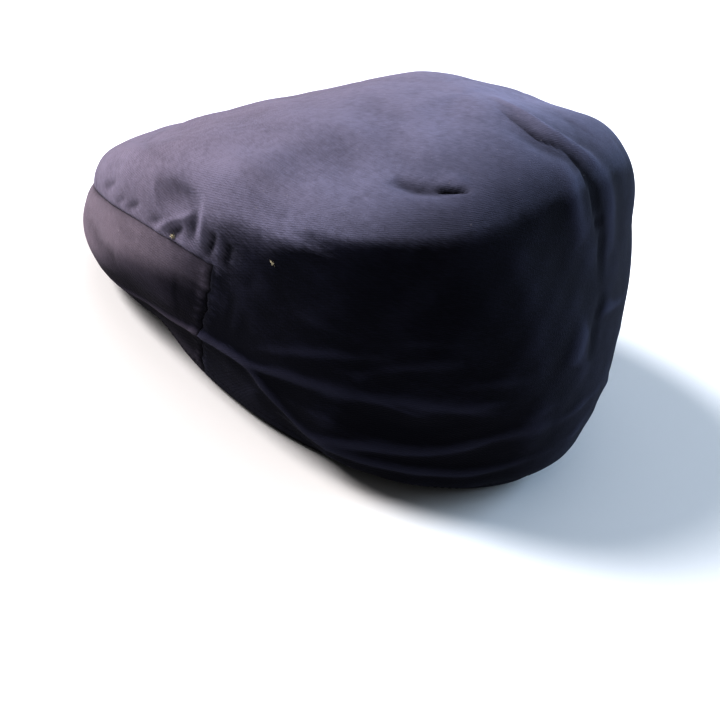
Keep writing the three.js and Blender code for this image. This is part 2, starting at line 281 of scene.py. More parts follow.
# The thin folds that stand between the deepest pockets.
POCKET_RIDGES = {
    "pinch, long": dict(
        spread=2.0, rise=1.1, path=((68.5, 1.98), (70.5, 2.14), (72.5, 2.3), (75, 2.44), (76.5, 2.5))
    ),
    "pinch, middle": dict(spread=1.8, rise=0.4, path=((75, 2.16), (75, 2.36), (75, 2.56))),
    "pinch, short": dict(spread=1.8, rise=0.8, path=((79, 2.16), (79, 2.4), (78.4, 2.68))),
    "pinch, end": dict(spread=1.6, rise=0.4, path=((82.4, 2.1), (82.8, 2.3), (83, 2.52))),
}
# The right side has their uneven likeness: these are added to heading and high, and times the rest.
LIKENESS = dict(
    heading=(-1.2, 1.2), high=(-0.06, 0.1), lean=(0.4, 1.4), spread=(0.85, 1.15), depth=(0.6, 1.05)
)
# Those between are about so many degrees apart, up to so far from the front. They start at one
# level, and have a least and a most of the rest.
FRONT_PITCH = 8.5
FRONT_END = 45
FRONT_LOW = 2.05
FRONT_POCKETS = dict(high=(2.16, 2.36), lean=(-1.5, 1.5), spread=(1.6, 3), depth=(0.4, 1.0))


def pocket_fold(heading, low, high, lean, spread, depth):
    path = ((heading, low), (heading + lean / 2, (low + high) / 2), (heading + lean, high))
    return dict(path=path, spread=spread, rise=-depth)


def make_pockets():
    """The listed pockets, their likeness on the wearer's right, and shallow ones between."""
    rng = np.random.default_rng(7)
    rows = [pocket_fold(**pocket) for pocket in POCKETS]
    for pocket in POCKETS:
        heading, high, lean, spread, depth = (rng.uniform(*ends) for ends in LIKENESS.values())
        rows.append(pocket_fold(
            heading - pocket["heading"],
            pocket["low"],
            pocket["high"] + high,
            -pocket["lean"] * lean,
            pocket["spread"] * spread,
            pocket["depth"] * depth,
        ))
    heading = -FRONT_END + rng.uniform(0, 4)
    while heading < FRONT_END:
        shape = (rng.uniform(*ends) for ends in FRONT_POCKETS.values())
        rows.append(pocket_fold(heading, FRONT_LOW, *shape))
        heading += FRONT_PITCH * rng.uniform(0.7, 1.3)
    return rows


# Faint creases that worn cloth keeps along the sides and back: the least and most of where each
# starts, how many degrees it runs, how many levels it climbs, its spread and its rise.
FAINT_CREASES = 30
FAINT = dict(
    heading=(92, 268), level=(1.05, 2.3), length=(10, 26), climb=(0.02, 0.3),
    spread=(1.8, 3), rise=(0.25, 0.6),
)


def make_faint_creases():
    rng = np.random.default_rng(11)
    rows = []
    for _ in range(FAINT_CREASES):
        heading, level, length, climb, spread, rise = (rng.uniform(*ends) for ends in FAINT.values())
        away = 1 if heading < 180 else -1
        path = (
            (heading, level),
            (heading + away * length / 2, level + climb * 0.7),
            (heading + away * length, level + climb),
        )
        rows.append(dict(path=path, spread=spread, rise=rise))
    return rows


LISTED_FOLDS = SIDE_FOLDS | BACK_FOLDS | TOP_FOLDS | RIGHT_FOLDS | POCKET_RIDGES
ALL_FOLDS = [*LISTED_FOLDS.values(), *make_pockets(), *make_faint_creases()]
FOLD_STEPS = 16
# A fold's flanks reach so many spreads from its path, and this much is taken off them, so that they
# end close to nothing. The taper is how bluntly the fold dies away at its two ends.
FOLD_REACH = 5
FOLD_TAIL = 0.004
FOLD_TAPER = 0.7


def smooth_course(path, steps):
    """A smooth curve through a path's points, cut into equal steps of its parameter."""
    knots = np.concatenate([[2 * path[0] - path[1]], path, [2 * path[-1] - path[-2]]])
    station = np.linspace(0, len(path) - 1, steps + 1)
    span = np.minimum(station.astype(int), len(path) - 2)
    return catmull_rom(*(knots[span + offset] for offset in range(4)), (station - span)[:, None])


def fold_heights(fold, points):
    """How far one fold lifts each of the points off the skin, in millimetres."""
    course = smooth_course(np.array(fold["path"], float), FOLD_STEPS)
    line = skin(course[:, 0], course[:, 1])
    reach = FOLD_REACH * fold["spread"]
    low, high = line.min(0) - reach, line.max(0) + reach
    near = np.nonzero(((points > low) & (points < high)).all(axis=1))[0]
    cloud = points[near]
    best = np.full(len(near), np.inf)
    share = np.zeros(len(near))
    for step, (start, end) in enumerate(zip(line[:-1], line[1:])):
        run = end - start
        part = np.clip((cloud - start) @ run / (run @ run), 0, 1)
        distance = np.linalg.norm(cloud - start - part[:, None] * run, axis=1)
        closer = distance < best
        best[closer] = distance[closer]
        share[closer] = (step + part[closer]) / FOLD_STEPS
    away = best / fold["spread"]
    profile = bell(away, 1) if fold.get("soft") else (1 + away**2) ** -1.5
    profile = np.clip(profile - FOLD_TAIL, 0, None)
    heights = np.zeros(len(points))
    heights[near] = fold["rise"] * np.sin(np.pi * share) ** FOLD_TAPER * profile
    return heights


# Fullness: the crown puffs up over the front seam, and the peak's face is rolled.
PUFF = dict(rise=4.6, low=SEAM_LEVEL, high=SEAM_LEVEL + 1)
PEAK_ROLL = dict(rise=3.4, low=EDGE_LEVEL, high=SEAM_LEVEL)


def swell(heading, level, rise, low, high):
    """A smooth swelling between two levels, greatest at the front and gone at the peak's ends."""
    fade = np.sin(np.pi / 2 * np.clip(1 - from_front(heading) / PEAK_END, 0, 1))
    return rise * np.sin(np.pi * ramp(level, low, high)) * fade


WAVES = ((60, 0.5), (38, 0.3), (24, 0.16), (13, 0.07))
WAVES_CROSSED = 4


def ripple_heights(points):
    """Slow unevenness of soft cloth: crossed waves, each a length and a height in millimetres."""
    rng = np.random.default_rng(21)
    total = np.zeros(len(points))
    for length, height in WAVES:
        for _ in range(WAVES_CROSSED):
            direction = rng.normal(size=3)
            direction /= np.linalg.norm(direction)
            phase = rng.uniform(0, 2 * np.pi)
            total += height / 2 * np.sin(points @ direction * 2 * np.pi / length + phase)
    return total


# About how many millimetres a level and a degree are, near the seams.
LEVEL_SPAN = 36.0
DEGREE_SPAN = 1.75
SEAM_DIP = dict(depth=0.36, end_depth=0.3, spread=1.0)
# Beside the end seams the cloth puckers: bumps this far off the seam and this far apart, uneven
# along it and out of step across it. They rise by the middle share, give or take the swing.
PUCKER = dict(
    rise=0.5, offset=2.0, spread=1.3, pitch=3.9, uneven=1.2, beat=0.37, step=1.4, middle=0.55, swing=0.45
)


def seam_distances(heading, level):
    """How many millimetres a point is from the front seam, and past the seam at the peak's end."""
    beyond = (from_front(heading) - PEAK_END) * DEGREE_SPAN
    front = np.hypot((level - SEAM_LEVEL) * LEVEL_SPAN, np.maximum(beyond, 0))
    end = np.hypot(beyond, np.maximum(level - SEAM_LEVEL, 0) * LEVEL_SPAN)
    return front, end * np.sign(beyond)


def seam_heights(heading, level):
    front, end = seam_distances(heading, level)
    nearest = np.minimum(front, np.abs(end))
    depth = np.where(front < np.abs(end), SEAM_DIP["depth"], SEAM_DIP["end_depth"])
    dip = -depth * bell(nearest, SEAM_DIP["spread"])
    along = level * LEVEL_SPAN * 2 * np.pi / PUCKER["pitch"]
    drift = PUCKER["uneven"] * np.sin(along * PUCKER["beat"])
    bumps = PUCKER["middle"] + PUCKER["swing"] * np.sin(along + drift + PUCKER["step"] * np.sign(end))
    shoulder = bell(np.abs(end) - PUCKER["offset"], PUCKER["spread"])
    return dip + PUCKER["rise"] * shoulder * bumps * ramp(level, 0, 0.3)


# At the lower edge the relief fades to this share of its height, over this many levels.
RIM_FADE = dict(share=0.25, levels=0.25)


def relief(points, heading, level):
    """How far the cloth's outer face stands off the smooth skin, in millimetres."""
    flat = points.reshape(-1, 3)
    heights = ripple_heights(flat)
    for fold in ALL_FOLDS:
        heights += fold_heights(fold, flat)
    heights = heights.reshape(heading.shape)
    heights += swell(heading, level, **PUFF)
    heights += swell(heading, level, **PEAK_ROLL)
    heights += seam_heights(heading, level)
    off_rim = ramp(level, 0, RIM_FADE["levels"])
    return heights * (RIM_FADE["share"] + (1 - RIM_FADE["share"]) * off_rim)


# ---- Meshes ----
def mesh_object(name, vertices, faces, flat_faces=()):
    mesh = bpy.data.meshes.new(name)
    mesh.from_pydata(vertices.tolist(), [], faces)
    smooth = np.ones(len(faces), bool)
    smooth[list(flat_faces)] = False
    mesh.polygons.foreach_set("use_smooth", smooth)
    mesh.update()
    piece = bpy.data.objects.new(name, mesh)
    bpy.context.scene.collection.objects.link(piece)
    return piece


def place(points):
    return points * MM + np.array(OPENING)


def wall_faces(outside, inside, is_cloth, is_crown):
    """The faces between two grids of point numbers. Only a cut edge's faces have five corners."""
    beside = np.pad(is_cloth, 1)
    if is_crown:
        beside[:, [0, -1]] = beside[:, [-2, 1]]
        beside[-1] = True
    faces = []

    def add(*corners):
        faces.append([int(corner) for spot, corner in enumerate(corners) if corner != corners[spot - 1]])

    for row, column in np.argwhere(is_cloth):
        after = (column + 1) % inside.shape[1]
        low, mid, high = 2 * row, 2 * row + 1, 2 * row + 2
        left, centre, right = 2 * column, 2 * column + 1, (2 * column + 2) % outside.shape[1]
        for bottom, top in ((low, mid), (mid, high)):
            for start, end in ((left, centre), (centre, right)):
                add(outside[bottom, start], outside[bottom, end], outside[top, end], outside[top, start])
        add(inside[row, column], inside[row + 1, column], inside[row + 1, after], inside[row, after])
        if not beside[row, column + 1]:
            add(*outside[low, [right, centre, left]], inside[row, column], inside[row, after])
        if not beside[row + 2, column + 1]:
            add(*outside[high, [left, centre, right]], inside[row + 1, after], inside[row + 1, column])
        if not beside[row + 1, column]:
            add(*outside[[low, mid, high], left], inside[row + 1, column], inside[row, column])
        if not beside[row + 1, column + 2]:
            add(*outside[[high, mid, low], right], inside[row, after], inside[row + 1, after])
    return faces


def closed_wall(name, outer, inner, marks, is_cloth, is_crown):
    """A closed wall of cloth from two grids of points, the inner one with every second row and column.

    is_cloth says, for each cell of the inner grid (2 by 2 cells of the outer), whether it is there.
    Each of marks, a name and a number for every outer point, becomes an attribute of the mesh.
    The crown's last column joins its first, and its last row is a single point.
    """
    outside = np.arange(outer[..., 0].size).reshape(outer.shape[:2])
    inside = outside.size + np.arange(inner[..., 0].size).reshape(inner.shape[:2])
    if is_crown:
        outside[-1] = outside[-1, 0]
        inside[-1] = inside[-1, 0]
    faces = wall_faces(outside, inside, is_cloth, is_crown)
    cut_edges = [index for index, face in enumerate(faces) if len(face) == 5]

    points = np.concatenate([outer.reshape(-1, 3), inner.reshape(-1, 3)])
    used = np.unique(np.concatenate([np.array(face) for face in faces]))
    renumber = np.zeros(len(points), int)
    renumber[used] = np.arange(len(used))
    rings = [[int(renumber[corner]) for corner in face] for face in faces]
    piece = mesh_object(name, place(points[used]), rings, cut_edges)
    for mark, values in marks.items():
        values = np.concatenate([values.ravel(), np.zeros(inside.size)])[used]
        attribute = piece.data.attributes.new(mark, "FLOAT", "POINT")
        attribute.data.foreach_set("value", values.astype(np.float32))
    return piece


# No cloth is lower than this, so that the cap stands on its band.
LOWEST = 0.4
# Painted light: the cloth is painted paler where its broad form faces this way, up and forwards, as if lit;
# a place's left or right makes no difference.
SUNWARD = np.array([-0.25, -0.87, 0.74])
# More painted light is added to that on the crown's front, from the first heading and level to the second,
# and on the peak's upper part.
PAINTED_LIGHT_FRONT = dict(gain=0.22, headings=(98, 68), levels=(1.88, 2.28))
PAINTED_LIGHT_PEAK = dict(gain=0.16, levels=(1.46, 1.7))
# Heights are averaged over so many rows and columns each way, for what counts as a crest and for
# the cloth's broad form.
CREST_REACH = (4, 3)
BROAD_REACH = (9, 6)


def softened(grid, reach, is_crown):
    """A grid of heights averaged twice over that many rows and columns each way."""
    for _ in range(2):
        for axis, cells in enumerate(reach):
            pads = [(0, 0), (0, 0)]
            pads[axis] = (cells, cells)
            padded = np.pad(grid, pads, mode="wrap" if is_crown and axis == 1 else "edge")
            windows = np.lib.stride_tricks.sliding_window_view(padded, 2 * cells + 1, axis=axis)
            grid = windows.mean(axis=-1)
    return grid


# Painted light added to the sunward mark on the crown's front and on the peak's upper part.
def painted_light_gain(heading, level, is_crown):
    if is_crown:
        forward = ramp(from_front(heading), *PAINTED_LIGHT_FRONT["headings"])
        return PAINTED_LIGHT_FRONT["gain"] * forward * ramp(level, *PAINTED_LIGHT_FRONT["levels"])
    return PAINTED_LIGHT_PEAK["gain"] * ramp(level, *PAINTED_LIGHT_PEAK["levels"])


def sunward_marks(broad, heading, level, is_crown):
    """How far each point of the broad form faces SUNWARD, with the painted light added on the front and the
    peak.
    """
    facing = unit(np.cross(np.gradient(broad, axis=1), np.gradient(broad, axis=0)))
    facing[..., 0] = np.abs(facing[..., 0])
    return facing @ SUNWARD + painted_light_gain(heading, level, is_crown)


def cloth_piece(name, headings, levels, wall, is_cloth, is_crown):
    """The crown, a round grid up to the top, or the peak, a strip of it, as a closed wall."""
    heading, level = np.meshgrid(headings, levels)
    base = skin(heading, level)
    normal = skin_normals(heading, level)
    height = relief(base, heading, level)
    broad = base + normal * softened(height, BROAD_REACH, is_crown)[..., None]
    # These marks feed the materials' painted light: sunward is how far the broad form faces the light; crest
    # lightens crests (partly wear, partly painted highlight) and darkens hollows (painted shade).
    marks = dict(
        crest=height - softened(height, CREST_REACH, is_crown),
        sunward=sunward_marks(broad, heading, level, is_crown),
    )
    outer = base + normal * height[..., None]
    inner = (base + normal * (height[..., None] - wall))[::2, ::2]
    outer[..., 2] = np.maximum(outer[..., 2], LOWEST)
    inner[..., 2] = np.maximum(inner[..., 2], LOWEST)
    return closed_wall(name, outer, inner, marks, is_cloth, is_crown)


# Half the gap that is left along each seam, in levels and in degrees.
SEAM_GAP_LEVEL = 0.0026
SEAM_GAP_HEADING = 0.018
# Steps round the front, over the peak, and round the rest; rows below and above the front seam.
FRONT_STEPS = 236
BACK_STEPS = 200
LOW_ROWS = 52
HIGH_ROWS = 146
PEAK_ROWS = 64
END_PACKING = 0.5


def end_packed(start, end, steps):
    """Stations from start to end that lie closer towards both, where the end seams are."""
    share = np.linspace(-1, 1, steps + 1)
    share = (1 - END_PACKING) * share + END_PACKING * np.sin(math.pi / 2 * share)
    return (start + end) / 2 + (end - start) / 2 * share


def make_crown():
    """The crown, from the lower edge to the top, without the peak's place at the front."""
    notch = PEAK_END + SEAM_GAP_HEADING
    front = end_packed(-notch, notch, FRONT_STEPS)
    back = end_packed(notch, 360 - notch, BACK_STEPS)[1:-1]
    seam = SEAM_LEVEL + SEAM_GAP_LEVEL
    low = np.linspace(0, seam, LOW_ROWS + 1)
    high = np.linspace(seam, TOP_LEVEL, HIGH_ROWS + 1)[1:]
    is_cloth = np.ones(((LOW_ROWS + HIGH_ROWS) // 2, (FRONT_STEPS + BACK_STEPS) // 2), bool)
    is_cloth[: LOW_ROWS // 2, : FRONT_STEPS // 2] = False
    headings = np.concatenate([front, back])
    levels = np.concatenate([low, high])
    return cloth_piece("crown_cloth", headings, levels, CROWN_WALL, is_cloth, is_crown=True)


def make_peak():
    end = PEAK_END - SEAM_GAP_HEADING
    headings = end_packed(-end, end, FRONT_STEPS)
    levels = np.linspace(0, SEAM_LEVEL - SEAM_GAP_LEVEL, PEAK_ROWS + 1)
    is_cloth = np.ones((PEAK_ROWS // 2, FRONT_STEPS // 2), bool)
    return cloth_piece("peak_cloth", headings, levels, PEAK_WALL, is_cloth, is_crown=False)


def oval(heading, inset):
    """The head opening's outline, that much inside the cloth's lower edge, in millimetres."""
    points = section_points(0, heading)[..., :2]
    side, front, back = (SECTIONS[0][end][0] for end in ("side", "front", "back"))
    scale_x = (side - inset) / side
    scale_y = np.where(points[..., 1] < 0, (front - inset) / front, (back - inset) / back)
    return points * np.stack([np.full_like(scale_y, scale_x), scale_y], axis=-1)


BAND = dict(wall=2.0, height=27.5, rounding=0.9, steps=260)
# The tape waves in and out above its lower edge: times round, height and phase.
BAND_WAVES = ((23, 0.12, 0), (41, 0.1, 1))
BAND_STRAIGHT = 2


def band_profile():
    """The folded tape's section with rounded corners: (inset, height) points in millimetres."""
    rounding = BAND["rounding"]
    outside, inside = BAND_INSET + rounding, BAND_INSET + BAND["wall"] - rounding
    low, high = rounding, BAND["height"] - rounding
    corners = ((outside, low, 180), (inside, low, 270), (inside, high, 0), (outside, high, 90))
    return [
        (inset + rounding * math.cos(turn), z + rounding * math.sin(turn))
        for inset, z, start in corners
        for turn in np.radians(np.linspace(start, start + 90, 5))
    ]


def make_band():
    headings = np.linspace(0, 360, BAND["steps"], endpoint=False)
    wave = sum(height * np.sin(np.radians(headings) * times + phase) for times, height, phase in BAND_WAVES)
    rings = []
    for inset, z in band_profile():
        ring = oval(headings, inset + wave * (z > BAND_STRAIGHT))
        rings.append(np.column_stack([ring, np.full(len(headings), z)]))
    index = np.arange(len(rings) * len(headings)).reshape(len(rings), len(headings))
    after, above = np.roll(index, -1, axis=1), np.roll(index, -1, axis=0)
    faces = np.stack([after, index, above, np.roll(after, -1, axis=0)], axis=-1).reshape(-1, 4)
    return mesh_object("band_tape", place(np.concatenate(rings)), faces.tolist())


# ---- Stitches and lint ----
# Each stitch is an arched length of thread, thin at its ends, which sink into the cloth.
STITCH = dict(pitch=3.1, length=2.3, radius=0.17, stations=6, arch=0.95, sink=0.6, end_width=0.3)
STITCH_SHARE = np.linspace(0, 1, STITCH["stations"])
STITCH_ARCH = np.sin(np.pi * STITCH_SHARE) ** 0.5
# How far up the cloth the hem's row is from its lower edge, and how high the band's rows are.
HEM_ROW = 6.0
BAND_ROWS = (3.6, 23.8)


def tubes(name, courses, upwards, widths, sides=6):
    """Closed round tubes along many courses of points, as one mesh. upwards turns their first side."""
    tangent = unit(np.gradient(courses, axis=1))
    aside = unit(np.cross(upwards, tangent))
    above = np.cross(tangent, aside)
    turns = np.linspace(0, 2 * np.pi, sides, endpoint=False)[:, None]
    ring = aside[:, :, None] * np.cos(turns) + above[:, :, None] * np.sin(turns)
    points = courses[:, :, None] + widths[..., None, None] * ring
    index = np.arange(points.size // 3).reshape(points.shape[:3])
    after = np.roll(index, -1, axis=2)
    sleeve = np.stack([index[:, :-1], after[:, :-1], after[:, 1:], index[:, 1:]], axis=-1).reshape(-1, 4)
    faces = sleeve.tolist() + index[:, 0, ::-1].tolist() + index[:, -1].tolist()
    return mesh_object(name, place(points.reshape(-1, 3)), faces)


def outer_face(heading, level):
    """Points of the cloth's outer face, and the way that it faces."""
    base = skin(heading, level)
    normal = skin_normals(heading, level)
    return base + normal * relief(base, heading, level)[..., None], normal


def stitch_courses(line, outward):
    """Stitches along a line on the cloth: arched courses whose ends dip into it."""
    along = np.concatenate([[0], np.cumsum(np.linalg.norm(np.diff(line, axis=0), axis=1))])
    count = int(along[-1] // STITCH["pitch"])
    stations = np.arange(count)[:, None] * along[-1] / count + STITCH_SHARE * STITCH["length"]
    spots, upwards = (
        np.stack([np.interp(stations, along, values[:, axis]) for axis in range(3)], axis=-1)
        for values in (line, outward)
    )
    upwards = unit(upwards)
    lift = STITCH["radius"] * (STITCH["arch"] * STITCH_ARCH - STITCH["sink"])
    return spots + upwards * lift[:, None], upwards


def make_stitches(name, rows):
    courses, upwards = (np.concatenate(parts) for parts in zip(*(stitch_courses(*row) for row in rows)))
    width = STITCH["radius"] * (STITCH["end_width"] + (1 - STITCH["end_width"]) * STITCH_ARCH)
    return tubes(name, courses, upwards, np.broadcast_to(width, courses.shape[:2]))


def make_hem_stitches():
    """A row round the crown and the peak, the same way up from their lower edge all round."""
    heading = np.linspace(0, 360, 721)
    edge = skin(heading, np.full_like(heading, EDGE_LEVEL))
    reach = np.linalg.norm(edge - skin(heading, np.zeros_like(heading)), axis=-1)
    return make_stitches("hem_stitches", [outer_face(heading, HEM_ROW / reach)])


def make_band_stitches():
    """Two rows on the band's inner face."""
    heading = np.linspace(0, 360, 721)
    ring = oval(heading, BAND_INSET + BAND["wall"])
    inward = np.column_stack([-unit(ring), np.zeros(len(heading))])
    rows = [(np.column_stack([ring, np.full(len(heading), z)]), inward) for z in BAND_ROWS]
    return make_stitches("band_stitches", rows)


# Two tufts of pale lint sit by the front seam's end; the way each lies is in (heading, level).
LINT = (
    dict(at=(73, 2.07), lie=(1.0, 0.03), length=2.4, width=1.2, fibres=34),
    dict(at=(92, 2.55), lie=(1.0, -0.04), length=2.2, width=0.45, fibres=18),
)
FIBRE = dict(radius=0.075, sides=5, stations=6, least=0.35, most=0.8, bend=1.4, lift=0.3, curl=0.5, off=0.25)


def fibre_course(tuft, spot, along, across, up, rng):
    """One bent fibre that lies about its tuft's length, just off the cloth."""
    share = np.linspace(-0.5, 0.5, FIBRE["stations"])[:, None]
    reach = share * tuft["length"] * rng.uniform(FIBRE["least"], FIBRE["most"])
    shift, slip, lift, turn, bend, curl = rng.normal(size=6)
    turn = turn / 2
    forward = slip * tuft["length"] / 5 + reach * math.cos(turn)
    aside = shift * tuft["width"] / 4 + reach * math.sin(turn) + bend * FIBRE["bend"] * share**2
    height = FIBRE["off"] + abs(lift) * FIBRE["lift"] + curl * FIBRE["curl"] * share**2
    return spot + along * forward + across * aside + up * height


def make_lint():
    rng = np.random.default_rng(5)
    courses = []
    for tuft in LINT:
        heading, level = (np.array([value, value + step]) for value, step in zip(tuft["at"], tuft["lie"]))
        spots, outward = outer_face(heading, level)
        along, up = unit(spots[1] - spots[0]), outward[0]
        across = np.cross(up, along)
        for _ in range(tuft["fibres"]):
            courses.append(fibre_course(tuft, spots[0], along, across, up, rng))
    courses = np.array(courses)
    upwards = np.broadcast_to(np.array([0.3, 0.2, 1.0]), courses.shape)
    widths = np.full(courses.shape[:2], FIBRE["radius"])
    return tubes("lint", courses, upwards, widths, FIBRE["sides"])


# ---- Materials ----
class Nodes:
    """Short calls for building one material's node tree. Values are numbers or other nodes' sockets."""

    def __init__(self, name):
        self.material = bpy.data.materials.new(name)
        self.material.use_nodes = True
        self.tree = self.material.node_tree
        self.shader = self.tree.nodes["Principled BSDF"]

    def feed(self, made, key, value):
        if isinstance(value, bpy.types.NodeSocket):
            self.tree.links.new(value, made.inputs[key])
        else:
            made.inputs[key].default_value = value

    def node(self, kind, inputs=(), **settings):
        made = self.tree.nodes.new(kind)
        for key, value in settings.items():
            setattr(made, key, value)
        for key, value in dict(inputs).items():
            self.feed(made, key, value)
        return made

    def math(self, operation, first, second=0.0, third=0.0):
        return self.node("ShaderNodeMath", {0: first, 1: second, 2: third}, operation=operation).outputs[0]

    def total(self, start, *weighted):
        """start plus each of the values times its weight."""
        for value, weight in weighted:
            start = self.math("MULTIPLY_ADD", value, weight, start)
        return start

    def ramp(self, value, start, end, most=1.0, smooth=False):
        """0 at start and most at end, straight or smoothly between them."""
        kind = "SMOOTHSTEP" if smooth else "LINEAR"
        inputs = {0: value, 1: start, 2: end, 4: most}
        return self.node("ShaderNodeMapRange", inputs, interpolation_type=kind).outputs[0]

    def noise(self, vector, scale, detail):
        inputs = {"Vector": vector, "Scale": scale, "Detail": detail}
        return self.node("ShaderNodeTexNoise", inputs).outputs[0]

    def bands(self, vector, pitch, direction, distortion, detail_scale=1.0):
        """Bands that are pitch metres apart, bent by a finer noise."""
        inputs = {"Vector": vector, "Scale": band_scale(pitch), "Distortion": distortion}
        inputs.update({"Detail": 2, "Detail Scale": detail_scale})
        made = self.node("ShaderNodeTexWave", inputs, wave_type="BANDS", bands_direction=direction)
        return made.outputs["Fac"]

    def mapped(self, vector, **settings):
        return self.node("ShaderNodeMapping", {"Vector": vector, **settings}).outputs[0]

    def attribute(self, name):
        return self.node("ShaderNodeAttribute", attribute_name=name).outputs["Fac"]

    def mix(self, share, first, second):
        return self.node("ShaderNodeMix", {0: share, 2: first, 3: second}, data_type="FLOAT").outputs[0]

    def blend(self, share, first, second):
        """A mix of two colours, each a socket or three numbers."""
        first, second = ((*end, 1) if isinstance(end, tuple) else end for end in (first, second))
        return self.node("ShaderNodeMix", {0: share, 6: first, 7: second}, data_type="RGBA").outputs[2]

    def bump(self, height, strength, distance):
        inputs = {"Strength": strength, "Distance": distance, "Height": height}
        return self.node("ShaderNodeBump", inputs).outputs[0]

    def finish(self, inputs):
        """Feed the shader's own inputs, and give the material."""
        for key, value in inputs.items():
            self.feed(self.shader, key, value)
        return self.material


def band_scale(pitch):
    """The Wave texture's scale for bands that far apart, in metres."""
    return math.pi / (10 * pitch)


# The twill's ribs, and the stretched noise of the brushed streaks and of the broad mottling.
TWILL = dict(pitch=0.0009, slant=math.radians(62), distortion=1.5, detail_scale=2.0)
STREAK = dict(scale=(300, 1450, 1), detail=3)
MOTTLE = dict(scale=(70, 190, 1), detail=2)
# Streaks follow the heading round the sides, where the cloth is laid out at ARC_RADIUS, and lie at
# TOP_GRAIN over the top. One turns into the other between two distances from the middle.
ARC_RADIUS = 0.09
SIDE_GRAIN = 0.0
TOP_GRAIN = math.radians(58)
TOP_BLEND = (0.075, 0.045)
# Painted shade towards the back: between two places along y, the painted light drops to a share of itself,
# and its colour cools.
PAINTED_SHADE_BACK = dict(between=(0.04, 0.09), share=0.3)
PAINTED_LIGHT_COOLING = (-0.04, 0.085)
# For each millimetre that a crest stands up, how much lighter its threads are, partly wear and partly
# painted highlight, and as much darker for a hollow, painted shade; for each that a hollow lies deep, how
# much less painted light it gets, painted shade too.
CREST_WEAR_AND_HIGHLIGHT = 1.4
PAINTED_HOLLOW_SHADE = 0.22
# How far streaks and patches break the painted light's edge up.
EDGE_STREAK = 0.12
EDGE_PATCH = 0.3
DUST = (0.5, 0.47, 0.44)
# The scale and detail of each plain noise.
SPECKS = dict(patches=(26, 4), fuzz=(330, 4), fleece=(1500, 2), dust=(620, 1))


def grain(nodes, vector, turn):
    """Twill ribs, brushed streaks and broad mottling over flat cloth coordinates in metres."""
    turned = nodes.mapped(vector, Rotation=(0, 0, turn))
    slanted = nodes.mapped(turned, Rotation=(0, 0, TWILL["slant"]))
    ribs = nodes.bands(slanted, TWILL["pitch"], "X", TWILL["distortion"], TWILL["detail_scale"])
    streaks, mottle = (
        nodes.noise(nodes.mapped(turned, Scale=row["scale"]), 1.0, row["detail"]) for row in (STREAK, MOTTLE)
    )
    return ribs, streaks, mottle


def cloth_layouts(nodes, spot):
    """Two flat layouts of the cloth, round the sides and over the top, and how far each point is top.

    Round the sides, one coordinate runs with the heading and the other up and inwards.
    """
    x, y, z = nodes.node("ShaderNodeSeparateXYZ", {0: spot}).outputs
    across = nodes.math("SUBTRACT", x, OPENING.x)
    forward = nodes.math("SUBTRACT", OPENING.y, y)
    squares = nodes.math("MULTIPLY_ADD", across, across, nodes.math("POWER", forward, 2.0))
    reach = nodes.math("POWER", squares, 0.5)
    arc = nodes.math("MULTIPLY", nodes.math("ARCTAN2", across, forward), ARC_RADIUS)
    side = nodes.node("ShaderNodeCombineXYZ", {0: arc, 1: nodes.math("SUBTRACT", z, reach)}).outputs[0]
    top = nodes.node("ShaderNodeCombineXYZ", {0: x, 1: y}).outputs[0]
    return side, top, nodes.ramp(reach, *TOP_BLEND, smooth=True)


def cloth_grain(nodes, spot):
    side, top, is_top = cloth_layouts(nodes, spot)
    both = zip(grain(nodes, side, SIDE_GRAIN), grain(nodes, top, TOP_GRAIN))
    return [nodes.mix(is_top, low, high) for low, high in both]


def painted_light_edge(nodes, streaks, patches, painted_light_range, brush):
    """How much painted light the cloth gets, in streaks where it starts to turn away."""
    middle = -brush * (EDGE_STREAK + EDGE_PATCH) / 2
    edge = nodes.math("ADD", nodes.attribute("sunward"), middle)
    edge = nodes.total(edge, (streaks, EDGE_STREAK * brush), (patches, EDGE_PATCH * brush))
    return nodes.ramp(edge, *painted_light_range, smooth=True)


def painted_light_cover(nodes, painted_light, backward, painted_light_mottle, crest, crest_wear_and_highlight):
    """How much of the painted light colour covers the threads: less towards the back, as painted shade, more
    on crests, partly wear and partly painted highlight, and less in hollows, as painted shade.
    """
    unshaded_share = nodes.total(1.0, (nodes.ramp(backward, *PAINTED_SHADE_BACK["between"]), PAINTED_SHADE_BACK["share"] - 1))
    painted_cover = nodes.math("MULTIPLY", nodes.math("MULTIPLY", painted_light, unshaded_share), painted_light_mottle)
    hollow = nodes.math("MINIMUM", crest, 0.0)
    return nodes.total(painted_cover, (crest, crest_wear_and_highlight), (hollow, PAINTED_HOLLOW_SHADE))


